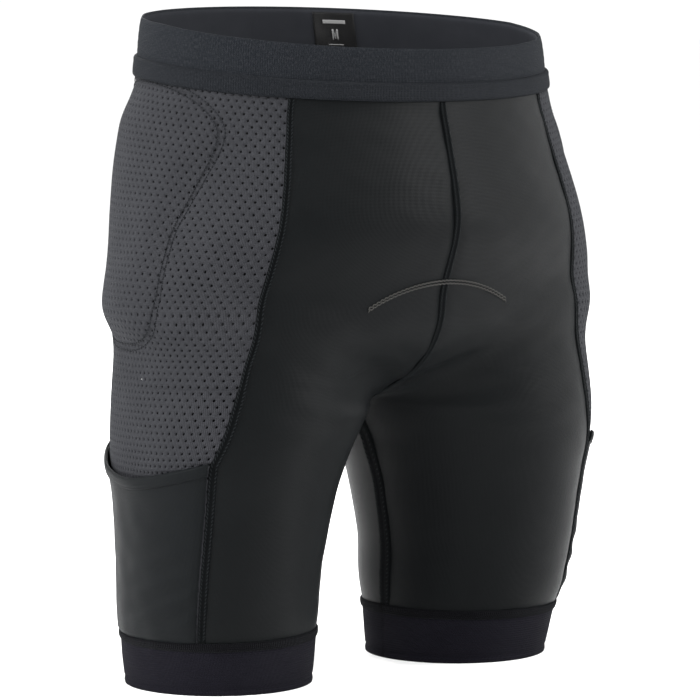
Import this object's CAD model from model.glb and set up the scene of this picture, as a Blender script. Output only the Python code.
import math
import bpy
import numpy as np
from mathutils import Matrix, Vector


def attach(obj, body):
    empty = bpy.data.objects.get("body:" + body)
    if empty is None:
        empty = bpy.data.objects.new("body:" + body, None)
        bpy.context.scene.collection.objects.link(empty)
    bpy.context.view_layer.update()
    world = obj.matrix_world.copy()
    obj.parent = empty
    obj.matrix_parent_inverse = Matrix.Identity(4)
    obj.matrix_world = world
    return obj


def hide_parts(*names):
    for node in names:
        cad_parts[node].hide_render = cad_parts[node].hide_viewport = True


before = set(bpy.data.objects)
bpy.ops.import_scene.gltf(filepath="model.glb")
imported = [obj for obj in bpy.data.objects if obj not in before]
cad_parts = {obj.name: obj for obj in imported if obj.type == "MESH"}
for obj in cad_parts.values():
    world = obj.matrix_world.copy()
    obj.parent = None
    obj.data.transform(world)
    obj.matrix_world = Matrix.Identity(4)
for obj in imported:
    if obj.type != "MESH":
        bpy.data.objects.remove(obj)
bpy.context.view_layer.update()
rng = np.random.default_rng(7)

# ------------------------------------------------------------ the garment's form, as the CAD has it (mm)
WAIST, BAND, STRIP, HEM = 432.0, 35.0, 11.0, 32.0
TILT_FRONT, TILT_BACK = 16.0, 11.0
RISE, DROP, CROTCH, SIDE_Y = 250.0, 64.0, 150.0, -8.0
BAND_LOW = WAIST - BAND
PAD_MID, PAD_HALF, PAD_LIFT = 310.5, 83.5, 6.0
TAIL_MID, TAIL_HALF, TAIL_WIDE = 318.0, 58.0, 0.34


def stations(*pairs):
    z = np.array([p[0] for p in pairs], float)
    v = np.array([p[1] for p in pairs], float)
    lo = np.maximum(np.arange(len(z)) - 1, 0)
    hi = np.minimum(np.arange(len(z)) + 1, len(z) - 1)
    slope = (v[hi] - v[lo]) / (z[hi] - z[lo])

    def value(at):
        at = np.clip(at, z[0], z[-1])
        i = np.clip(np.searchsorted(z, at, side="right") - 1, 0, len(z) - 2)
        w = z[i + 1] - z[i]
        t = (at - z[i]) / w
        return ((2 * t**3 - 3 * t**2 + 1) * v[i] + (t**3 - 2 * t**2 + t) * w * slope[i]
                + (3 * t**2 - 2 * t**3) * v[i + 1] + (t**3 - t**2) * w * slope[i + 1])
    return value


trunk_half_width = stations((0, 170), (150, 178), (200, 180), (250, 181), (290, 175), (340, 165),
                            (395, 153.5), (432, 146.5), (460, 144))
trunk_front = stations((0, 92), (250, 98), (301, 114), (327, 114), (360, 108), (381, 104),
                       (416, 105), (450, 105))
trunk_back = stations((0, 124), (250, 125), (270, 128), (330, 118), (380, 105), (413, 104),
                      (448, 107), (460, 107))
trunk_middle = stations((0, SIDE_Y), (290, SIDE_Y), (350, -4), (416, -1), (460, -1))
trunk_full_front = stations((0, 0.28), (270, 0.28), (310, 0.14), (350, 0.05), (395, 0), (460, 0))
leg_middle_x = stations((0, 101), (32, 102.5), (52, 103.4), (85, 104), (150, 99), (180, 92),
                        (250, 88), (460, 88))
leg_middle_y = stations((0, 3), (32, 1), (52, -1), (85, -4), (150, -8), (180, -9), (250, -8), (460, -8))
leg_half_x = stations((0, 61), (32, 65), (52, 68), (85, 71), (125, 77), (150, 84), (180, 91),
                      (250, 87), (460, 80))
leg_half_y = stations((0, 61), (32, 65), (52, 68), (85, 71), (125, 75), (150, 79), (180, 83),
                      (250, 82), (460, 60))
leg_full_front = stations((0, 0.0), (30, 0.03), (52, 0.08), (85, 0.10), (125, 0.11), (180, 0.10),
                          (250, 0.06), (460, 0))
pad_front_edge = stations((225, -0.30), (240, -0.265), (254, -0.23), (274, -0.195), (300, -0.185),
                          (319, -0.22), (339, -0.274), (353, -0.325), (373, -0.40), (394, -0.44))
pad_back_edge = stations((225, 0.42), (260, 0.47), (300, 0.50), (340, 0.52), (394, 0.52))
front_seam = stations((0, -0.42), (100, -0.445), (150, -0.455), (207, -0.47), (240, -0.495), (300, -0.515),
                      (393, -0.54), (440, -0.54))


def smoothstep(t):
    t = np.clip(t, 0.0, 1.0)
    return t * t * (3 - 2 * t)


def oval(dx, dy, dz, rx, ry, rz, extra=0.0):
    level = (dx / rx)**2 + (dy / ry)**2 + (dz / rz)**2 + extra
    steep = 2 * np.sqrt((dx / rx**2)**2 + (dy / ry**2)**2 + (dz / rz**2)**2 + 1e-9)
    return (level - 1) / steep


def soft_union(a, b, reach):
    overlap = np.maximum(reach - np.abs(a - b), 0.0) / reach
    return np.minimum(a, b) - overlap * overlap * reach / 4


def body_distance(p):
    x, y, z = p[..., 0], p[..., 1], p[..., 2]
    dy = y - trunk_middle(z)
    depth = np.where(dy < 0, trunk_front(z), trunk_back(z))
    wide = trunk_half_width(z)
    full = trunk_full_front(z) * (x / wide)**2 * dy / depth
    trunk = oval(x, dy, np.minimum(z - RISE, 0.0), wide, depth, DROP, full)
    lx, ly, cx, cy = leg_half_x(z), leg_half_y(z), leg_middle_x(z), leg_middle_y(z)
    fade = 0.01 * np.maximum(z - 235.0, 0.0)**2
    lean = 2 * leg_full_front(z) * (y - cy) / (lx * ly)
    left = oval(x - cx, y - cy, 0, lx, ly, 1e6, lean * (x - cx)) + fade
    right = oval(x + cx, y - cy, 0, lx, ly, 1e6, -lean * (x + cx)) + fade
    whole = soft_union(trunk, soft_union(left, right, 8.0), 16.0)
    return np.where(z < RISE - DROP - 40, np.minimum(left, right), whole)


def outward(p, level=None):
    n = np.stack([body_distance(p + d) - body_distance(p - d) for d in np.eye(3) * 0.2], -1)
    if level is not None:
        n[..., 2] = np.where(level, 0.0, n[..., 2])
    return n / np.linalg.norm(n, axis=-1, keepdims=True)


def row_height(s, h):
    lean = (h - RISE) / (WAIST - RISE)
    inner = np.where(h >= CROTCH, RISE - DROP * np.sin(np.pi / 2 * (RISE - h) / (RISE - CROTCH)),
                     h + (RISE - DROP - CROTCH) * (h / CROTCH)**2)
    tilt = np.where(s < 0, TILT_FRONT, TILT_BACK)
    return np.where(h >= RISE, h + tilt * lean * np.sin(np.pi / 2 * s), h + (inner - h) * np.abs(s)**3)


def skin(s, h, lift=0.0):
    """Points on the fabric's outer face, and their outward normals, for arrays of s and h. s runs from -1 at
    the front middle round the outside to +1 at the back middle; past that the rows run on round."""
    s, h = np.broadcast_arrays(np.asarray(s, float), np.asarray(h, float))
    low = h <= CROTCH
    over = np.abs(s) > 1
    flip = over & ~low
    s = np.where(over & low, s - 2 * np.sign(s), s)
    s = np.where(flip, 2 * np.sign(s) - s, s)
    z = row_height(s, h)
    turn = np.pi / 2 * s
    px = trunk_half_width(z) * np.cos(turn)
    py = trunk_middle(z) + np.where(s < 0, trunk_front(z), trunk_back(z)) * np.sin(turn)
    leg_turn = np.pi * (0.48 * s + 0.52 * s**3)
    lx = leg_middle_x(z) + leg_half_x(z) * np.cos(leg_turn)
    ly = leg_middle_y(z) + leg_half_y(z) * np.sin(leg_turn)
    share = np.clip(1 - np.cos(np.pi / 2 * np.clip((RISE - h) / (RISE - CROTCH), 0, 1)), 0, 1)
    p = np.stack([(1 - share) * px + share * lx, (1 - share) * py + share * ly, z], -1)
    level = (h <= HEM + 8) | (h >= BAND_LOW - 4)
    for _ in range(5):
        p = p - outward(p, level) * body_distance(p)[..., None]
    on_middle = (np.abs(np.abs(s) - 1) < 1e-9) & ~low
    p[..., 0] = np.where(on_middle, 0.0, p[..., 0])
    n = outward(p, level)
    sign = np.where(flip, -1.0, 1.0)
    p[..., 0] *= sign
    n[..., 0] *= sign
    return p + n * np.asarray(lift)[..., None] if np.ndim(lift) else p + n * lift, n


def back_seam(h):
    return 0.60 - 0.04 * smoothstep((200 - h) / 200)


def run_share(h, width):
    return width / np.where(h > 200, np.pi / 2 * 150, 135 + 0.3 * h)


def pad_s(t, h):
    a, b = pad_front_edge(h), pad_back_edge(h)
    return (a + b + t * (b - a)) / 2


def pad_radius(s, h):
    a, b = pad_front_edge(h), pad_back_edge(h)
    t = (2 * s - a - b) / (b - a)
    return (np.abs(t)**2.6 + np.abs((h - PAD_MID) / PAD_HALF)**2.6)**(1 / 2.6)


def pad_lift(s, h):
    return PAD_LIFT * smoothstep((1.03 - pad_radius(s, h)) / 0.34)


def tail_radius(s, h):
    return (np.abs((1 - np.abs(s)) / TAIL_WIDE)**2.4 + np.abs((h - TAIL_MID) / TAIL_HALF)**2.4)**(1 / 2.4)


def tail_lift(s, h):
    return np.where(s > 0, 3.0 * smoothstep((1.25 - tail_radius(s, h)) / 0.5), 0.0)


def ripple(a, b, seed, scale, count=7):
    """Smooth wandering value in about -1..1 over two coordinates in mm, scale being the usual wavelength."""
    r = np.random.default_rng(seed)
    total = 0
    for _ in range(count):
        angle, wave, phase = r.uniform(0, np.pi), scale * r.uniform(0.6, 1.7), r.uniform(0, 6.3)
        total = total + np.sin((a * np.cos(angle) + b * np.sin(angle)) * 2 * np.pi / wave + phase)
    return total / count**0.5 / 1.6


# ------------------------------------------------------------ mesh building
def build(name, verts, quads, pat=None, mats=(), mat_index=None, smooth=True):
    mesh = bpy.data.meshes.new(name)
    verts = np.asarray(verts, float).reshape(-1, 3) * 0.001
    quads = np.asarray(quads, np.int32)
    mesh.vertices.add(len(verts))
    mesh.vertices.foreach_set("co", verts.ravel())
    mesh.loops.add(quads.size)
    mesh.loops.foreach_set("vertex_index", quads.ravel())
    mesh.polygons.add(len(quads))
    mesh.polygons.foreach_set("loop_start", np.arange(len(quads), dtype=np.int32) * quads.shape[1])
    if mat_index is not None:
        mesh.polygons.foreach_set("material_index", np.asarray(mat_index, np.int32))
    mesh.update(calc_edges=True)
    mesh.validate()
    mesh.polygons.foreach_set("use_smooth", np.full(len(mesh.polygons), smooth))
    if pat is not None:
        layer = mesh.attributes.new("pat", "FLOAT_VECTOR", "POINT")
        layer.data.foreach_set("vector", np.asarray(pat, float).reshape(-1, 3).ravel())
    for m in mats:
        mesh.materials.append(m)
    obj = bpy.data.objects.new(name, mesh)
    bpy.context.scene.collection.objects.link(obj)
    return obj


def grid_quads(rows, cols, closed=False, start=0):
    i, j = np.meshgrid(np.arange(rows - 1), np.arange(cols if closed else cols - 1), indexing="ij")
    a = i * cols + j
    b = i * cols + (j + 1) % cols
    return (np.stack([a, b, b + cols, a + cols], -1).reshape(-1, 4)) + start


def arc_pattern(p):
    """Distances in mm across and down a grid of points."""
    across = np.cumsum(np.linalg.norm(np.diff(p, axis=1, prepend=p[:, :1]), axis=-1), axis=1)
    across -= across[:, across.shape[1] // 2][:, None]
    down = np.cumsum(np.linalg.norm(np.diff(p, axis=0, prepend=p[:1]), axis=-1), axis=0)
    return np.stack([across, down, np.zeros_like(down)], -1)


def shell(name, outer, inner, mats, closed=False, flip=False, mat_index=None):
    """Closed piece between two grids of points; the rims are joined by quads."""
    rows, cols = outer.shape[:2]
    n = rows * cols
    face = grid_quads(rows, cols, closed)
    quads = [face, face[:, ::-1] + n]
    rim = np.arange(cols if closed else cols - 1)
    nxt = (rim + 1) % cols
    quads.append(np.stack([nxt, rim, rim + n, nxt + n], -1))
    last = (rows - 1) * cols
    quads.append(np.stack([rim + last, nxt + last, nxt + last + n, rim + last + n], -1))
    if not closed:
        side = np.arange(rows - 1) * cols
        quads.append(np.stack([side, side + cols, side + cols + n, side + n], -1))
        far = side + cols - 1
        quads.append(np.stack([far + cols, far, far + n, far + cols + n], -1))
    quads = np.concatenate(quads)
    pat = arc_pattern(outer)
    verts = np.concatenate([outer.reshape(-1, 3), inner.reshape(-1, 3)])
    q = face[len(face) // 2]
    facing = np.cross(verts[q[1]] - verts[q[0]], verts[q[3]] - verts[q[0]])
    if np.dot(facing, verts[q[0]] - verts[q[0] + n]) < 0:
        quads = quads[:, ::-1]
    return build(name, verts, quads, np.concatenate([pat.reshape(-1, 3)] * 2), mats, mat_index)


def place(obj, slot_name, *nodes):
    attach(obj, "root")
    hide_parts(*nodes)
    return obj


def sides():
    """Left and right, with the mirror factor for X."""
    return (("left", 1.0), ("right", -1.0))


def flipped(p, factor):
    q = p.copy()
    q[..., 0] *= factor
    return q


def thread_runs(base, normal, along, length, radius, sag=0.5, ring=6):
    """Short rounded stitches: one small capsule for each base point, lying along the given directions."""
    side = np.cross(normal, along)
    side /= np.linalg.norm(side, axis=-1, keepdims=True)
    stations_t = np.array([-1.0, -0.72, 0.0, 0.72, 1.0])
    girth = np.array([0.25, 0.9, 1.0, 0.9, 0.25])
    height = np.array([-sag, 0.15, 0.35, 0.15, -sag])
    turn = np.arange(ring) * 2 * np.pi / ring
    t = stations_t[None, :, None, None]
    centre = base[:, None, None, :] + along[:, None, None, :] * t * length / 2 \
        + normal[:, None, None, :] * height[None, :, None, None] * radius
    off = (side[:, None, None, :] * np.cos(turn)[None, None, :, None]
           + normal[:, None, None, :] * np.sin(turn)[None, None, :, None])
    verts = centre + off * radius * girth[None, :, None, None]
    n = len(base)
    one = grid_quads(5, ring, closed=True)
    quads = (one[None] + (np.arange(n) * 5 * ring)[:, None, None]).reshape(-1, 4)
    return verts.reshape(-1, 3), quads


def join_parts(parts):
    """Join (verts, quads, pat or None, material index) lists into one."""
    verts, quads, pats, index, start = [], [], [], [], 0
    for v, q, pat, m in parts:
        v = np.asarray(v).reshape(-1, 3)
        verts.append(v)
        quads.append(np.asarray(q) + start)
        pats.append(np.zeros_like(v) if pat is None else np.asarray(pat).reshape(-1, 3))
        index.append(np.full(len(q), m))
        start += len(v)
    return np.concatenate(verts), np.concatenate(quads), np.concatenate(pats), np.concatenate(index)


# ------------------------------------------------------------ materials
def fabric(name, colour, second, rough, sheen, pitch, bump, mottle=0.35, mottle_scale=60.0, speckle=0.0,
           speckle_colour=(0.2, 0.2, 0.2), speckle_pitch=(1.2, 0.5), ribs=(1.0, 1.0), specular=0.3):
    """A knitted cloth: wales and courses at a real pitch in mm as bump, a slow wander between two colours,
    and short heathered flecks where speckle is above zero."""
    m = bpy.data.materials.new(name)
    m.use_nodes = True
    t = m.node_tree
    n, link = t.nodes, t.links.new
    b = n["Principled BSDF"]
    b.inputs["Roughness"].default_value = rough
    b.inputs["Sheen Weight"].default_value = sheen
    b.inputs["Sheen Roughness"].default_value = 0.45
    b.inputs["Sheen Tint"].default_value = (0.75, 0.8, 0.85, 1)
    b.inputs["Specular IOR Level"].default_value = specular
    at = n.new("ShaderNodeAttribute")
    at.attribute_name = "pat"
    split = n.new("ShaderNodeSeparateXYZ")
    link(at.outputs["Vector"], split.inputs[0])

    def math(op, a, b=None):
        node = n.new("ShaderNodeMath")
        node.operation = op
        for k, v in enumerate((a, b)):
            if v is None:
                continue
            if isinstance(v, (int, float)):
                node.inputs[k].default_value = v
            else:
                link(v, node.inputs[k])
        return node.outputs[0]

    across = math("SINE", math("MULTIPLY", split.outputs[0], 2 * np.pi / (pitch * ribs[0])))
    down = math("SINE", math("MULTIPLY", split.outputs[1], 2 * np.pi / (pitch * ribs[1])))
    knit = math("ADD", across, math("MULTIPLY", down, 0.6))
    coord = n.new("ShaderNodeTexCoord")
    wander = n.new("ShaderNodeTexNoise")
    wander.inputs["Scale"].default_value = mottle_scale
    wander.inputs["Detail"].default_value = 5
    link(coord.outputs["Object"], wander.inputs["Vector"])
    mix = n.new("ShaderNodeMix")
    mix.data_type = "RGBA"
    mix.inputs[6].default_value = (*colour, 1)
    mix.inputs[7].default_value = (*second, 1)
    link(math("MULTIPLY", wander.outputs["Fac"], mottle * 2), mix.inputs[0])
    out = mix.outputs[2]
    if speckle > 0:
        stretch = n.new("ShaderNodeVectorMath")
        stretch.operation = "MULTIPLY"
        stretch.inputs[1].default_value = (1 / speckle_pitch[0], 1 / speckle_pitch[1], 0)
        link(at.outputs["Vector"], stretch.inputs[0])
        fleck = n.new("ShaderNodeTexNoise")
        fleck.inputs["Scale"].default_value = 1.0
        fleck.inputs["Detail"].default_value = 2
        link(stretch.outputs[0], fleck.inputs["Vector"])
        ramp = n.new("ShaderNodeValToRGB")
        ramp.color_ramp.elements[0].position = 0.45
        ramp.color_ramp.elements[1].position = 0.68
        link(fleck.outputs["Fac"], ramp.inputs[0])
        heather = n.new("ShaderNodeMix")
        heather.data_type = "RGBA"
        heather.inputs[7].default_value = (*speckle_colour, 1)
        link(out, heather.inputs[6])
        link(math("MULTIPLY", ramp.outputs[0], speckle), heather.inputs[0])
        out = heather.outputs[2]
    link(out, b.inputs["Base Color"])
    fine = n.new("ShaderNodeTexNoise")
    fine.inputs["Scale"].default_value = 900
    link(coord.outputs["Object"], fine.inputs["Vector"])
    relief = n.new("ShaderNodeBump")
    relief.inputs["Strength"].default_value = bump
    relief.inputs["Distance"].default_value = 0.0003
    link(math("ADD", knit, math("MULTIPLY", fine.outputs["Fac"], 1.2)), relief.inputs["Height"])
    link(relief.outputs[0], b.inputs["Normal"])
    return m


panel_mat = fabric("stretch_knit", (0.0018, 0.0023, 0.0026), (0.0031, 0.0038, 0.0042), 0.40, 0.01, 0.9, 0.30,
                   mottle_scale=35, specular=0.055)
pocket_mat = fabric("pocket_knit", (0.0030, 0.0037, 0.0042), (0.0048, 0.0057, 0.0064), 0.50, 0.01, 0.9, 0.30,
                    mottle_scale=30, specular=0.05)
mesh_mat = fabric("mesh_knit", (0.0200, 0.0205, 0.0232), (0.0300, 0.0305, 0.0340), 0.72, 0.02, 1.05, 0.55,
                  mottle_scale=45, specular=0.03)
band_mat = fabric("waist_elastic", (0.0068, 0.0080, 0.0100), (0.0110, 0.0125, 0.0150), 0.80, 0.02, 1.1, 0.6,
                  speckle=0.55, speckle_colour=(0.022, 0.023, 0.026), speckle_pitch=(0.8, 2.2), specular=0.03)
strip_mat = fabric("strip_elastic", (0.0066, 0.0075, 0.0092), (0.0105, 0.0118, 0.0140), 0.80, 0.02, 1.1, 0.7,
                   speckle=0.5, speckle_colour=(0.020, 0.021, 0.024), speckle_pitch=(0.8, 1.6), specular=0.03)
lining_mat = fabric("brushed_lining", (0.0140, 0.0150, 0.0178), (0.0220, 0.0230, 0.0265),
                    0.95, 0.02, 0.7, 0.4,
                    specular=0.03)
leg_mat = fabric("leg_elastic", (0.0058, 0.0054, 0.0082), (0.0090, 0.0085, 0.0125), 0.82, 0.01, 1.0, 0.9,
                 ribs=(1.0, 1.6), specular=0.03)
hem_mat = fabric("hem_overlock", (0.003, 0.003, 0.0036), (0.0045, 0.0045, 0.0055), 0.85, 0.02, 1.4, 0.9,
                 specular=0.02)
ribbon_mat = fabric("seam_ribbon", (0.0024, 0.0028, 0.003), (0.0036, 0.004, 0.0044), 0.85, 0.02, 0.8, 0.5,
                    specular=0.02)
thread_mat = fabric("seam_thread", (0.0065, 0.0078, 0.0085), (0.0095, 0.011, 0.012), 0.6, 0.01, 0.4, 0.5,
                    specular=0.05)
pad_thread_mat = fabric("pad_thread", (0.0060, 0.0068, 0.0085), (0.0090, 0.0100, 0.0120), 0.6, 0.02, 0.4, 0.5,
                        specular=0.1)
grey_thread_mat = fabric("grey_thread", (0.036, 0.035, 0.033), (0.052, 0.051, 0.047), 0.6, 0.02, 0.4, 0.5,
                         specular=0.1)
pad_mat = fabric("impact_foam", (0.007, 0.0075, 0.010), (0.011, 0.012, 0.014), 0.85, 0.02, 2.0, 0.4,
                 specular=0.08)
liner_mat = fabric("tricot_liner", (0.0040, 0.0040, 0.0045), (0.0065, 0.0065, 0.0075), 0.8, 0.03, 0.8, 0.5,
                   specular=0.08)
seat_mat = fabric("seat_knit", (0.010, 0.010, 0.0115), (0.016, 0.016, 0.018), 0.9, 0.04, 1.2, 0.6,
                  specular=0.08)
label_mat = fabric("label_satin", (0.0016, 0.0016, 0.0018), (0.0025, 0.0025, 0.0028), 0.45, 0.02, 0.35, 0.3,
                   specular=0.12)
print_mat = fabric("label_print", (0.16, 0.16, 0.16), (0.2, 0.2, 0.2), 0.6, 0.02, 0.35, 0.2)


# ------------------------------------------------------------ stretch panels
def rows_between(top, low, step):
    return np.linspace(top, low, max(int((top - low) / step), 8))


def seam_pinch(s, h):
    """The cloth draws in a little beside every sewn line."""
    dip = 0
    for line in (front_seam(h), back_seam(h)):
        away = np.abs(s - line) / run_share(h, 1.0)
        dip = dip - 0.55 * np.exp(-(away / 5.0)**2)
    middle = (1 - np.abs(s)) / run_share(h, 1.0)
    return dip - 0.6 * np.exp(-(middle / 5.0)**2)


def front_folds(s, h, across, down):
    """Soft drag lines that fan out from the crotch, and the slight wander of stretched cloth."""
    near = np.exp(-((h - 185) / 38)**2) * smoothstep((-0.45 - s) / 0.4)
    fan = np.sin((across * 0.55 + down * 0.85) * 2 * np.pi / 21) * near * 0.55
    return fan + 0.5 * ripple(across, down, 3, 85) + 0.12 * ripple(across, down, 5, 26)


def back_folds(s, h, across, down):
    near = np.exp(-((h - 190) / 34)**2) * smoothstep((s - 0.62) / 0.3)
    fan = np.sin((across * -0.5 + down * 0.86) * 2 * np.pi / 24) * near * 0.8
    return fan + 0.5 * ripple(across, down, 13, 80) + 0.12 * ripple(across, down, 15, 24)


def panel(kind, lo, hi, folds, lift_of):
    rows = rows_between(BAND_LOW - 0.2, HEM + 0.2, 2.1)
    u = np.linspace(0, 1, 84)
    h = np.repeat(rows[:, None], len(u), 1)
    s = lo(h) + (hi(h) - lo(h)) * u
    across, down = (s - lo(h)) / run_share(h, 1.0), BAND_LOW - h
    fade = smoothstep((BAND_LOW - h) / 12) * smoothstep((h - HEM) / 10)
    lift = lift_of(s, h) + (folds(s, h, across, down) + seam_pinch(s, h)) * fade
    outer, normal = skin(s, h, lift)
    inner = outer - normal * 1.25
    for side, factor in sides():
        obj = shell(f"{kind}_{side}_cloth", flipped(outer, factor), flipped(inner, factor), [panel_mat])
        place(obj, "stretch_panel", f"{kind}_{side}")


panel("front_panel", lambda h: -1 + 0.0015 + 0 * h, lambda h: front_seam(h) - 0.001, front_folds,
      lambda s, h: 0 * s)
panel("back_panel", lambda h: back_seam(h) + 0.001, lambda h: 1 - 0.0015 + 0 * h, back_folds, tail_lift)


# ------------------------------------------------------------ perforated side fabric
def pad_surface(s, h):
    """Side fabric over the hip pad: mound, dip along the pad's stitching, slight wander."""
    r = pad_radius(s, h)
    groove = -1.0 * np.exp(-((r - 1.02) / 0.030)**2)
    return pad_lift(s, h) + groove


def perforated(side, factor):
    """Knitted mesh with staggered real holes, 6.3 mm apart across and 4.2 mm from row to row."""
    cols, row_count = 40, 87
    top, low = BAND_LOW - 0.3, HEM + 0.3
    ii, jj = np.meshgrid(np.arange(2 * cols + 1), np.arange(2 * row_count + 1), indexing="ij")

    def lay(a, b):
        h = top + (low - top) * b
        lo, hi = front_seam(h) + 0.001, back_seam(h) - 0.001
        return lo + (hi - lo) * a, h

    a, b = ii / (2 * cols), jj / (2 * row_count)
    corner = (ii * (2 * row_count + 1) + jj)
    cells_i, cells_j = [], []
    for j in range(row_count):
        start = j % 2
        count = cols if start == 0 else cols - 1
        cells_i.append(np.arange(count) * 2 + start)
        cells_j.append(np.full(count, 2 * j))
    ci, cj = np.concatenate(cells_i), np.concatenate(cells_j)
    ring_i = np.array([0, 1, 2, 2, 2, 1, 0, 0])
    ring_j = np.array([0, 0, 0, 1, 2, 2, 2, 1])
    edge = corner[ci[:, None] + ring_i, cj[:, None] + ring_j]
    turn = np.arctan2((ring_j - 1.0), (ring_i - 1.0))
    wob = rng.uniform(0.88, 1.12, (len(ci), 1))
    hole_a = ((ci[:, None] + 1) + np.cos(turn) * 0.25 * wob) / (2 * cols)
    hole_b = ((cj[:, None] + 1) + np.sin(turn) * 0.40 * wob) / (2 * row_count)
    all_a = np.concatenate([a.ravel(), hole_a.ravel(), hole_a.ravel()])
    all_b = np.concatenate([b.ravel(), hole_b.ravel(), hole_b.ravel()])
    s, h = lay(all_a, all_b)
    sunk = np.concatenate([np.zeros(a.size), np.full(hole_a.size, -0.10), np.full(hole_a.size, -0.75)])
    across, down = s / run_share(h, 1.0), BAND_LOW - h
    fade = smoothstep((BAND_LOW - h) / 12) * smoothstep((h - HEM) / 10)
    lift = pad_surface(s, h) + fade * (0.35 * ripple(across, down, 23, 70) + seam_pinch(s, h)) + sunk
    p, _ = skin(s, h, lift)
    n0 = a.size
    hole = n0 + np.arange(hole_a.size).reshape(-1, 8)
    wall = hole + hole_a.size
    nxt = (np.arange(8) + 1) % 8
    quads = np.concatenate([
        np.stack([edge, edge[:, nxt], hole[:, nxt], hole], -1).reshape(-1, 4),
        np.stack([hole, hole[:, nxt], wall[:, nxt], wall], -1).reshape(-1, 4)])
    half = []
    for j in range(1, row_count, 2):
        for i in (0, 2 * cols - 1):
            half.append([corner[i, 2 * j], corner[i + 1, 2 * j], corner[i + 1, 2 * j + 1],
                         corner[i, 2 * j + 1]])
            half.append([corner[i, 2 * j + 1], corner[i + 1, 2 * j + 1], corner[i + 1, 2 * j + 2],
                         corner[i, 2 * j + 2]])
    quads = np.concatenate([quads, np.array(half)])
    q = quads[0]
    facing = np.cross(p[q[1]] - p[q[0]], p[q[3]] - p[q[0]])
    if np.dot(facing, p[q[0]] * (1, 1, 0)) < 0:
        quads = quads[:, ::-1]
    if factor < 0:
        quads = quads[:, ::-1]
    pat = np.stack([across, down, 0 * down], -1)
    obj = build(f"side_mesh_{side}_cloth", flipped(p, factor), quads, pat, [mesh_mat])
    place(obj, "side_mesh", f"side_mesh_{side}")


for side, factor in sides():
    perforated(side, factor)


# ------------------------------------------------------------ waistband
def ring_band(name, nodes, slot_name, mat, top, low, profile, thick, step=1.6, lo=-3.0, hi=1.0, count=520):
    """A band right round the waist; profile(v, s) is its outward lift, v 0 at the top and 1 at the bottom."""
    rows = rows_between(top, low, step)
    s = lo + (hi - lo) * np.arange(count) / count
    h, s = np.meshgrid(rows, s, indexing="ij")
    v = (top - h) / (top - low)
    outer, normal = skin(s, h, profile(v, s))
    edge = np.minimum(v, 1 - v) * (top - low)
    inner = outer - normal * (thick * np.sqrt(np.clip(edge / 1.2, 0.12, 1.0)))[..., None]
    return place(shell(name, outer, inner, [mat], closed=True), slot_name, *nodes)


def band_profile(v, s):
    around = s * 236.0
    roll = -0.7 * np.exp(-(v / 0.05)**2)
    crown = 0.5 * np.sin(np.pi * np.clip(v / 0.66, 0, 1))
    wander = 0.35 * ripple(around, v * 35, 31, 60) * (1 - v)
    return 0.4 + roll + crown + wander + 0.25 * np.sin(v * 2 * np.pi * 7) * 0.3


def strip_profile(v, s):
    around = s * 236.0
    body = np.sqrt(np.clip(1 - np.abs(2 * v - 1)**3.0, 0, 1))
    lip = 0.55 * np.exp(-((v - 0.12) / 0.10)**2)
    return 0.7 + 1.6 * body + lip + 0.30 * ripple(around, v * 10, 33, 46)


ring_band("waistband_cloth", ["waistband"], "waistband", band_mat, WAIST, BAND_LOW, band_profile, 2.0)
ring_band("waistband_strip_cloth", ["waistband_strip"], "waistband_strip", strip_mat, BAND_LOW + STRIP,
          BAND_LOW - 2.0, strip_profile, 1.4, step=0.9)
ring_band("waistband_lining_cloth", ["waistband_lining"], "waistband_lining", lining_mat, WAIST - 1.5,
          BAND_LOW + 0.5,
          lambda v, s: -1.9 + 0.12 * ripple(s * 236, v * 35, 35, 18), 0.8, step=2.2, count=360)

label_s = np.linspace(0.64, 0.78, 26)
label_h = rows_between(WAIST - 3, BAND_LOW + 4, 1.3)
hh, ss = np.meshgrid(label_h, label_s, indexing="ij")
face, normal = skin(ss, hh, -2.95 + 0.15 * ripple(ss * 236, hh, 41, 15))
inner_face = face - normal * 0.45


def grid_part(outer, inner, mat):
    """Closed patch between two grids as a (verts, quads, pat, material) part."""
    rows, cols = outer.shape[:2]
    n = rows * cols
    f = grid_quads(rows, cols)
    rim = np.arange(cols - 1)
    side = np.arange(rows - 1) * cols
    last = (rows - 1) * cols
    quads = np.concatenate([
        f, f[:, ::-1] + n, np.stack([rim + 1, rim, rim + n, rim + 1 + n], -1),
        np.stack([rim + last, rim + 1 + last, rim + 1 + last + n, rim + last + n], -1),
        np.stack([side, side + cols, side + cols + n, side + n], -1),
        np.stack([side + 2 * cols - 1, side + cols - 1, side + cols - 1 + n, side + 2 * cols - 1 + n], -1)])
    verts = np.concatenate([outer.reshape(-1, 3), inner.reshape(-1, 3)])
    q = f[len(f) // 2]
    facing = np.cross(verts[q[1]] - verts[q[0]], verts[q[3]] - verts[q[0]])
    if np.dot(facing, verts[q[0]] - verts[q[0] + n]) < 0:
        quads = quads[:, ::-1]
    pat = arc_pattern(outer).reshape(-1, 3)
    return verts, quads, np.concatenate([pat, pat]), mat


def label_mark(s0, s1, h0, h1):
    """A printed bar on the inner face of the label, between two corners."""
    u = np.linspace(0, 1, 8)[None, :]
    v = np.linspace(0, 1, 6)[:, None]
    s = s0 + (s1 - s0) * u + 0 * v
    h = h0 + (h1 - h0) * v + 0 * u
    out, nrm = skin(s, h, -3.44)
    return grid_part(out - nrm * 0.12, out, 1)


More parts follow.
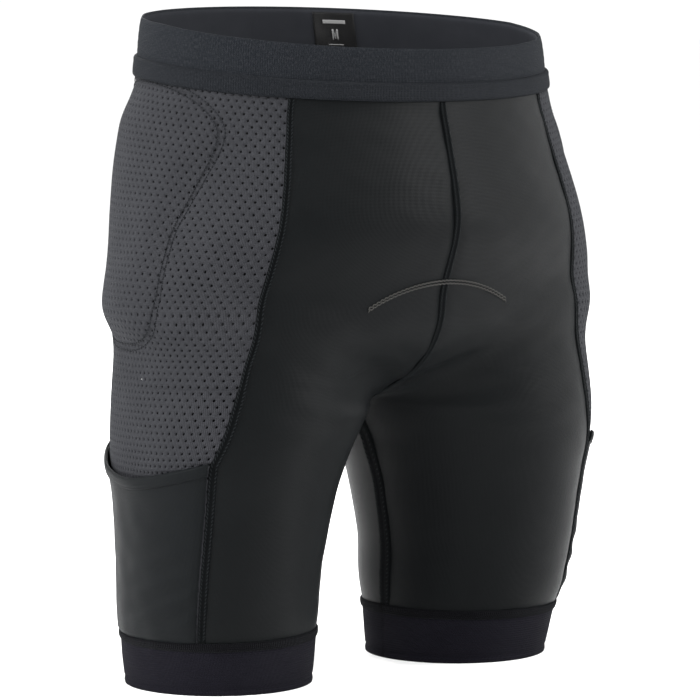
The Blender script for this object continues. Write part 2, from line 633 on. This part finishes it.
parts = [grid_part(face, inner_face, 0)]
size_h = 411.0
for a, b, c, d in ((0.700, 0.704, 7.0, 0.0), (0.716, 0.720, 7.0, 0.0)):
    parts.append(label_mark(a, b, size_h + c, size_h + d))
for k in range(6):
    t = k / 5
    parts.append(label_mark(0.7045 + 0.0045 * t - 0.0014, 0.7045 + 0.0045 * t + 0.0014, size_h + 7 - 4.2 * t,
                            size_h + 5.0 - 4.2 * t))
    parts.append(label_mark(0.7155 - 0.0045 * t - 0.0014, 0.7155 - 0.0045 * t + 0.0014, size_h + 7 - 4.2 * t,
                            size_h + 5.0 - 4.2 * t))
for k, wide in enumerate((0.05, 0.036, 0.044, 0.028)):
    parts.append(label_mark(0.71 - wide / 2, 0.71 + wide / 2, 408.2 - 1.6 * k, 407.6 - 1.6 * k))
parts.append(label_mark(0.672, 0.748, 424.0, 421.5))
v, q, pt, mi = join_parts(parts)
place(build("size_label_cloth", v, q, pt, [label_mat, print_mat], mi), "label", "size_label")


# ------------------------------------------------------------ leg bands and their overlocked upper seam
def leg_ring(name, mat, top, low, profile, thick, step, count=230):
    rows = rows_between(top, low, step)
    s = -1 + 2 * np.arange(count) / count
    h, s = np.meshgrid(rows, s, indexing="ij")
    v = (top - h) / (top - low)
    outer, normal = skin(s, h, profile(v, s))
    edge = np.minimum(v, 1 - v) * (top - low)
    inner = outer - normal * (thick * np.sqrt(np.clip(edge / 1.0, 0.15, 1.0)))[..., None]
    return outer, inner


def leg_profile(v, s):
    around = s * 205.0
    fold = 0.55 * np.exp(-((v - 0.97) / 0.05)**2) - 0.5 * np.exp(-((v - 0.86) / 0.02)**2)
    return 0.5 + 0.35 * np.sin(np.pi * v) + fold + 0.45 * ripple(around, v * 32, 51, 75) * (1 - v) * v * 2


def hem_profile(v, s):
    around = s * 205.0
    return 0.55 + 1.15 * np.sqrt(np.clip(1 - np.abs(2 * v - 1)**2.4, 0, 1)) + 0.22 * ripple(around, v, 53, 30)


for name, slot_name, mat, top, low, profile, thick, step in (
        ("leg_band", "leg_elastic", leg_mat, HEM, 0.0, leg_profile, 2.0, 1.4),
        ("hem_seam", "hem_thread", hem_mat, HEM + 3.4, HEM - 2.6, hem_profile, 0.9, 0.75)):
    outer, inner = leg_ring(name, mat, top, low, profile, thick, step)
    for side, factor in sides():
        obj = shell(f"{name}_{side}_cloth", flipped(outer, factor), flipped(inner, factor), [mat],
                    closed=True)
        place(obj, slot_name, f"{name}_{side}")


# ------------------------------------------------------------ thigh pockets
def pocket_top(u):
    return 152 - 12 * np.sin(np.pi * np.minimum(u * 1.1, 1.0)) + 6 * u


def pocket_span(u, h):
    lo = front_seam(h) + run_share(h, 3.2)
    hi = back_seam(h) - run_share(h, 3.2)
    return lo + (hi - lo) * u


def pocket_folds(u, h):
    """Slanting drag lines in the lower front corner and a slack mouth."""
    across, down = u * 150, 150 - h
    corner = np.exp(-((h - 62) / 30)**2) * smoothstep((0.75 - u) / 0.5)
    lines = np.sin((across * 0.35 - down) * 2 * np.pi / 17 + 0.8 * np.sin(across / 21)) * corner * 0.75
    return lines + 0.55 * ripple(across, down, 61, 60) + 0.2 * ripple(across, down, 63, 22)


u = np.linspace(0, 1, 80)[None, :]
t = np.linspace(0, 1, 72)[:, None]
h = pocket_top(u) + (HEM + 3.0 - pocket_top(u)) * t
uu = u + 0 * t
rim = smoothstep(np.minimum(np.minimum(uu, 1 - uu) * 150, (h - HEM - 3) * 1.2) / 3.5)
near_mouth = pocket_top(u) - h
gape = 1.3 * np.exp(-(near_mouth / 16)**2) * np.sin(np.pi * uu)
lift = 0.55 + (1.15 + pocket_folds(uu, h) * 0.8 + gape) * rim
pocket_s = pocket_span(uu, h)
pocket_outer, pocket_normal = skin(pocket_s, h, lift)
pocket_inner = pocket_outer - pocket_normal * (0.3 + 0.6 * rim)[..., None]

t = np.linspace(0, 1, 12)[:, None]
h = pocket_top(u) + 1.0 - 8.0 * t
uu = u + 0 * t
swell = np.sqrt(np.clip(1 - np.abs(2 * t - 1)**4, 0, 1))
stitch_groove = -0.45 * np.exp(-((t - 0.78) / 0.08)**2)
gape = 1.3 * np.sin(np.pi * uu) + 0.3 * ripple(uu * 150, 8 * t, 67, 30)
rim = smoothstep(np.minimum(uu, 1 - uu) * 150 / 3.5)
mouth_lift = 0.9 + (1.0 + gape) * rim + 1.3 * swell + stitch_groove
mouth_outer, mouth_normal = skin(pocket_span(uu, h), h, mouth_lift)
mouth_inner = mouth_outer - mouth_normal * (0.25 + 1.0 * swell)[..., None]
for side, factor in sides():
    obj = shell(f"thigh_pocket_{side}_cloth", flipped(pocket_outer, factor), flipped(pocket_inner, factor),
                [pocket_mat])
    place(obj, "pocket_fabric", f"thigh_pocket_{side}")
    obj = shell(f"pocket_hem_{side}_cloth", flipped(mouth_outer, factor), flipped(mouth_inner, factor),
                [pocket_mat])
    place(obj, "pocket_hem", f"pocket_hem_{side}")


# ------------------------------------------------------------ flatlock seams with real stitches
def seam(name, line, top, low, lift_of, half=2.5, pitch=2.5, both=True, wide=1.0):
    """A low ribbon along a seam with a middle groove and a slanting thread row on each side."""
    rows = rows_between(top, low, 1.5)[:, None]
    w = np.linspace(-1, 1, 9)[None, :]
    s = line(rows) + run_share(rows, half * wide) * w
    h = rows + 0 * w
    shape = 0.62 * np.sqrt(np.clip(1 - np.abs(w)**3, 0, 1)) - 0.42 * np.exp(-(w / 0.16)**2)
    outer, normal = skin(s, h, lift_of(s, h) + 0.18 + shape)
    parts = [grid_part(outer, outer - normal * 0.5, 0)]
    at = np.arange(top - 1.5, low + 1.5, -pitch)
    for edge, lean in ((-0.56, 0.5), (0.56, -0.5)):
        s = line(at) + run_share(at, half * wide) * edge
        base, nrm = skin(s, at, lift_of(s, at) + 0.72)
        ahead, _ = skin(line(at - 1) + run_share(at, half * wide) * edge, at - 1, lift_of(s, at) + 0.72)
        beside, _ = skin(s + run_share(at, 1.0), at, lift_of(s, at) + 0.72)
        along = (ahead - base) + (beside - base) * lean
        along /= np.linalg.norm(along, axis=-1, keepdims=True)
        v, q = thread_runs(base, nrm, along, 2.35, 0.33)
        parts.append((v, q, None, 1))
    v, q, pt, mi = join_parts(parts)
    nodes = [(name, 1.0)] if not both else [(f"{name}_{side}", factor) for side, factor in sides()]
    for node, factor in nodes:
        quads = q if factor > 0 else q[:, ::-1]
        obj = build(node + "_sewn", flipped(v, factor), quads, pt, [ribbon_mat, thread_mat], mi)
        place(obj, "seam_thread", node)


def seam_lift(s, h):
    fade = smoothstep((BAND_LOW - h) / 12) * smoothstep((h - HEM) / 10)
    return np.maximum(pad_lift(s, h), tail_lift(np.abs(s), h) * (s > 0)) - 0.5 * fade


seam("side_front_seam", front_seam, BAND_LOW - 2, HEM + 3.5, seam_lift)
seam("side_back_seam", back_seam, BAND_LOW - 2, HEM + 3.5, seam_lift)
seam("centre_front_seam", lambda h: -1 + 0 * h, BAND_LOW - 2, CROTCH + 14,
     lambda s, h: -0.5 + 0 * h, both=False)
seam("centre_back_seam", lambda h: 1 + 0 * h, BAND_LOW - 2, CROTCH + 9,
     lambda s, h: tail_lift(1 - np.abs(np.abs(s) - 1), h) - 0.5, both=False)
seam("inseam", lambda h: 1 + 0 * h, CROTCH - 6, HEM + 3.5, lambda s, h: -0.5 + 0 * h, wide=0.75)


# ------------------------------------------------------------ rows of stitching round the pads
def thread_loop(name, slot_name, mat, place_at, rows_of, mirror, length=2.1, radius=0.33, zigzag=0.0,
                pitch=2.6):
    """Stitches along closed outlines: place_at(turn, grow) gives points and normals."""
    parts = []
    for grow in rows_of:
        turn = np.linspace(0, 2 * np.pi, 1600)
        p, n = place_at(turn, grow)
        run = np.concatenate([[0], np.cumsum(np.linalg.norm(np.diff(p, axis=0), axis=-1))])
        count = int(run[-1] / pitch)
        at = np.interp(np.arange(count) * pitch, run, turn)
        base, nrm = place_at(at, grow)
        ahead, _ = place_at(at + 0.002, grow)
        along = ahead - base
        along /= np.linalg.norm(along, axis=-1, keepdims=True)
        if zigzag:
            cross = np.cross(nrm, along)
            sign = np.where(np.arange(count) % 2 == 0, 1.0, -1.0)[:, None]
            along = along + cross * sign * zigzag
            along /= np.linalg.norm(along, axis=-1, keepdims=True)
        v, q = thread_runs(base, nrm, along, length, radius)
        parts.append((v, q, None, 0))
    v, q, pt, mi = join_parts(parts)
    nodes = [(name, 1.0)] if not mirror else [(f"{name}_{side}", factor) for side, factor in sides()]
    for node, factor in nodes:
        obj = build(node + "_sewn", flipped(v, factor), q if factor > 0 else q[:, ::-1], pt, [mat], mi)
        place(obj, slot_name, node)


def corner_turn(a, square):
    return (np.sign(np.sin(a)) * np.abs(np.sin(a))**square, np.sign(np.cos(a)) * np.abs(np.cos(a))**square)


def hip_stitch_place(a, grow):
    across, up = corner_turn(a, 0.77)
    h = PAD_MID + grow * PAD_HALF * up
    s = pad_s(grow * across, h)
    return skin(s, h, pad_surface(s, h) + 0.30)


def tail_stitch_place(a, grow):
    across, up = corner_turn(a, 0.83)
    s = 1 + 1.12 * grow * TAIL_WIDE * across
    h = TAIL_MID + 1.09 * grow * TAIL_HALF * up
    return skin(s, h, tail_lift(np.minimum(s, 2 - s), h) + 0.35)


thread_loop("hip_pad_stitch", "pad_stitch", pad_thread_mat, hip_stitch_place, (1.0, 1.045), True)
thread_loop("tail_pad_stitch", "pad_stitch", pad_thread_mat, tail_stitch_place, (1.0, 1.05), False)


# ------------------------------------------------------------ seat pad inside the crotch
def rise_point(c):
    side = np.where(c < 0, -1.0, 1.0)
    p, _ = skin(side, CROTCH + np.abs(c))
    p[..., 0] = 0.0
    return p


def beside_rise(c, lateral, lift):
    c, lateral = np.broadcast_arrays(np.asarray(c, float), np.asarray(lateral, float))
    p = rise_point(c)
    along = rise_point(c + 0.6) - rise_point(c - 0.6)
    along /= np.linalg.norm(along, axis=-1, keepdims=True)
    side = np.zeros_like(p)
    side[..., 0] = 1.0
    steps = 20
    for _ in range(steps):
        new = np.cross(along, outward(p))
        new *= np.sign((new * side).sum(-1, keepdims=True) + 1e-12)
        side = new / np.linalg.norm(new, axis=-1, keepdims=True)
        p = p + side * (np.abs(lateral) / steps)[..., None]
        p = p - outward(p) * body_distance(p)[..., None]
    n = outward(p)
    p = p + n * np.asarray(lift)[..., None] if np.ndim(lift) else p + n * lift
    sign = np.where(lateral < 0, -1.0, 1.0)
    p[..., 0] *= sign
    n[..., 0] *= sign
    return p, n


seat_half_width = stations((0, 56), (0.2, 50), (0.48, 38), (0.8, 66), (1, 58))


def seat_place(u, v):
    front, back = -116.0 + 16 * u * u, 104.0 - 22 * u * u
    return front + (back - front) * v, u * seat_half_width(np.clip(v, 0, 1))


def seat_arc_place(a, grow):
    """The front edge of the seat pad, where the stitching shows; the turn runs from one end to the other."""
    u = (a / np.pi - 1) * 1.04
    c, lateral = seat_place(u, 0 * u + (1 - grow) * 0.5)
    return beside_rise(c, lateral, 0.28)


thread_loop("seat_pad_stitch", "seat_stitch", grey_thread_mat, seat_arc_place, (1.0, 1.02), False, length=2.2,
            radius=0.40, zigzag=0.75, pitch=1.6)

u = np.linspace(-1, 1, 60)[None, :]
v = np.linspace(0, 1, 110)[:, None]
uu, vv = u + 0 * v, v + 0 * u
c, lateral = seat_place(uu, vv)
edge = np.minimum(1 - np.abs(uu), np.minimum(vv, 1 - vv) * 2.4)
round_edge = np.sqrt(np.clip(edge / 0.10, 0.05, 1))
ends = smoothstep((vv - 0.3) / 0.1) * smoothstep((0.96 - vv) / 0.1)
channel = -0.9 * np.exp(-((np.abs(lateral) - 6) / 1.8)**2) * ends
quilt = 0.35 * np.sin(c * 2 * np.pi / 13) * np.exp(-((np.abs(lateral) - 30) / 12)**2)
outer, normal = beside_rise(c, lateral, -1.9)
inner = outer - normal * ((2.9 + channel + quilt) * round_edge)[..., None]
place(shell("seat_pad_base_cloth", outer, inner, [seat_mat]), "seat_base", "seat_pad_base")


# ------------------------------------------------------------ foam pads: crowned forms, swollen by simulation
def swollen(name, outer, inner, mats, cap, pressure=4.0):
    """A padded piece: rounded shell, remeshed and swollen a little under cloth pressure."""
    obj = shell(name, outer, inner, mats)
    scene = bpy.context.scene
    remesh = obj.modifiers.new("remesh", "REMESH")
    remesh.mode = "VOXEL"
    remesh.voxel_size = 0.0032
    bpy.context.view_layer.objects.active = obj
    bpy.ops.object.modifier_apply(modifier=remesh.name)
    start = np.empty(len(obj.data.vertices) * 3)
    obj.data.vertices.foreach_get("co", start)
    c = obj.modifiers.new("cloth", "CLOTH")
    c.settings.quality = 4
    c.settings.mass = 0.2
    c.settings.tension_stiffness = 20
    c.settings.use_pressure = True
    c.settings.uniform_pressure_force = pressure
    c.settings.effector_weights.gravity = 0
    c.collision_settings.use_collision = False
    c.point_cache.frame_end = 14
    for f in range(1, 13):
        scene.frame_set(f)
    shape = obj.evaluated_get(bpy.context.evaluated_depsgraph_get())
    moved = np.empty(len(start))
    shape.data.vertices.foreach_get("co", moved)
    obj.modifiers.remove(c)
    scene.frame_set(1)
    step = (moved - start).reshape(-1, 3)
    size = np.linalg.norm(step, axis=1, keepdims=True)
    step *= np.minimum(1.0, cap * 0.001 / np.maximum(size, 1e-9))
    obj.data.vertices.foreach_set("co", (start.reshape(-1, 3) + step).ravel())
    obj.data.polygons.foreach_set("use_smooth", np.full(len(obj.data.polygons), True))
    layer = obj.data.attributes.get("pat") or obj.data.attributes.new("pat", "FLOAT_VECTOR", "POINT")
    flat = (start.reshape(-1, 3) * (1000.0, 0, 1000.0))[:, [0, 2, 1]]
    layer.data.foreach_set("vector", flat.ravel())
    return obj


def pad_grids(grow=0.90, rows=40, cols=34):
    """Outer and inner grids over a rounded outline; thickness falls away at the rim."""
    v = np.linspace(-1, 1, rows)[:, None]
    w = np.linspace(-1, 1, cols)[None, :]
    h = PAD_MID + 0.985 * PAD_HALF * -v * grow + 0 * w
    reach = (1 - np.minimum(np.abs(v * 0.985), 0.985)**2.6)**(1 / 2.6) * grow
    s = pad_s(reach * w, h)
    rim = np.minimum(1 - np.abs(v + 0 * w), 1 - np.abs(w + 0 * v))
    taper = np.sqrt(np.clip(rim / 0.16, 0.03, 1))
    return s, h, taper


s, h, taper = pad_grids()
top_lift, back_lift = pad_lift(s, h) - 1.7, -3.0
centre = (top_lift * 0.35 + back_lift * 0.65)
groove = 0.9 * np.exp(-(np.sin((h - PAD_MID) * np.pi / 42) / 0.10)**2) * taper
outer, normal = skin(s, h, centre + (top_lift - centre) * taper - groove)
inner, _ = skin(s, h, centre + (back_lift - centre) * taper)
for side, factor in sides():
    obj = swollen(f"hip_pad_{side}_foam", flipped(outer, factor), flipped(inner, factor), [pad_mat], 0.5)
    place(obj, "impact_foam", f"hip_pad_{side}")

s, h, taper = pad_grids(grow=0.97)
outer, normal = skin(s, h, -3.3 - 0.3 * taper + 0.15 * ripple(s * 235, h, 71, 24))
inner = outer - normal * (0.3 + 0.45 * taper)[..., None]
for side, factor in sides():
    obj = shell(f"hip_pad_liner_{side}_cloth", flipped(outer, factor), flipped(inner, factor), [liner_mat])
    place(obj, "liner", f"hip_pad_liner_{side}")


def tail_grids(grow):
    v = np.linspace(-1, 1, 36)[:, None]
    w = np.linspace(-1, 1, 48)[None, :]
    h = TAIL_MID - 0.97 * grow * TAIL_HALF * v + 0 * w
    reach = (1 - np.minimum(np.abs(0.97 * v), 0.97)**2.4)**(1 / 2.4)
    s = 1 + grow * TAIL_WIDE * reach * w
    rim = np.minimum(1 - np.abs(v + 0 * w), 1 - np.abs(w + 0 * v))
    return s, h, np.sqrt(np.clip(rim / 0.14, 0.03, 1))


s, h, taper = tail_grids(0.97)
top_lift = tail_lift(np.minimum(s, 2 - s), h) - 2.1
centre = (top_lift - 3.4) / 2
outer, normal = skin(s, h, centre + (top_lift - centre) * taper)
inner, _ = skin(s, h, centre + (-3.4 - centre) * taper)
obj = place(swollen("tail_pad_foam", outer, inner, [pad_mat], 0.4), "impact_foam", "tail_pad")
s, h, taper = tail_grids(1.04)
outer, normal = skin(s, h, -4.2 - 0.2 * taper)
inner = outer - normal * (0.3 + 0.45 * taper)[..., None]
obj = place(shell("tail_pad_liner_cloth", outer, inner, [liner_mat]), "liner", "tail_pad_liner")

a = np.linspace(-1, 1, 44)[:, None]
w = np.linspace(-1, 1, 30)[None, :]
reach = (1 - np.minimum(np.abs(a), 0.97)**2.4)**(1 / 2.4)
rim = np.minimum(1 - np.abs(a + 0 * w), 1 - np.abs(w + 0 * a))
taper = np.sqrt(np.clip(rim / 0.35, 0.03, 1))
channel = 0.8 * np.exp(-(np.sin(a * 2.2 * np.pi) / 0.16)**2) * taper
outer, normal = beside_rise(44 + 44 * a + 0 * w, 34 + 22 * reach * w, -6.3)
inner = outer - normal * (0.4 + 6.3 * taper - channel)[..., None]
for side, factor in sides():
    obj = swollen(f"sit_pad_{side}_foam", flipped(outer, factor), flipped(inner, factor), [seat_mat], 0.7)
    place(obj, "sit_foam", f"sit_pad_{side}")

# ------------------------------------------------------------ floor, light, camera
def light(name, kind, at, aim, energy, size):
    data = bpy.data.lights.new(name, kind)
    data.energy = energy
    if kind == "AREA":
        data.shape = "RECTANGLE"
        data.size, data.size_y = size
    obj = bpy.data.objects.new(name, data)
    bpy.context.scene.collection.objects.link(obj)
    look = np.array(aim) - np.array(at)
    obj.location = at
    obj.rotation_euler = Vector(look).to_track_quat("-Z", "Y").to_euler()
    return obj


floor_mesh = bpy.data.meshes.new("floor")
wide = 30.0  # metres from the middle to each side, past anything the camera sees
corners = [(-wide, -wide, 0), (wide, -wide, 0), (wide, wide, 0), (-wide, wide, 0)]
floor_mesh.from_pydata(corners, [], [(0, 1, 2, 3)])
floor = bpy.data.objects.new("floor", floor_mesh)
bpy.context.scene.collection.objects.link(floor)
floor_mat = bpy.data.materials.new("floor")
floor_mat.use_nodes = True
fb = floor_mat.node_tree.nodes["Principled BSDF"]
fb.inputs["Base Color"].default_value = (0.97, 0.97, 0.97, 1)
fb.inputs["Roughness"].default_value = 0.9
fb.inputs["Specular IOR Level"].default_value = 0.1
floor_mesh.materials.append(floor_mat)

world = bpy.data.worlds.new("studio")
world.use_nodes = True
world.node_tree.nodes["Background"].inputs[0].default_value = (1, 1, 1, 1)
world.node_tree.nodes["Background"].inputs[1].default_value = 1.06
bpy.context.scene.world = world

azimuth = math.radians(-38)
right = np.array([math.cos(azimuth), math.sin(azimuth), 0])
toward = np.array([math.sin(azimuth), -math.cos(azimuth), 0])
light("key", "AREA", toward * 1.0 - right * 2.4 + (0, 0, 1.5), (0, 0, 0.25), 120, (0.9, 1.3))
light("side", "AREA", -toward * 0.5 + right * 2.5 + (0, 0, 1.1), (0, 0, 0.22), 60, (0.9, 1.3))
light("top", "AREA", toward * 1.4 + right * 0.5 + (0, 0, 2.6), (0, 0, 0.3), 55, (0.7, 0.7))
light("back", "AREA", -toward * 2.2 - right * 0.6 + (0, 0, 1.8), (0, 0, 0.25), 60, (1.4, 1.4))

height, distance = 0.45, 2.6  # metres above the floor, and level distance from the object
aim_height, aside = 0.2134, 0.0053
cam_data = bpy.data.cameras.new("camera")
cam_data.lens = 200
cam_data.sensor_width = 36
cam_data.clip_end = 100
cam = bpy.data.objects.new("camera", cam_data)
bpy.context.scene.collection.objects.link(cam)
spot = toward * distance + right * aside + (0, 0, height)
aim = right * aside + (0, 0, aim_height)
cam.location = spot
cam.rotation_euler = Vector(aim - spot).to_track_quat("-Z", "Y").to_euler()
bpy.context.scene.camera = cam
bpy.context.scene.view_settings.view_transform = "Standard"
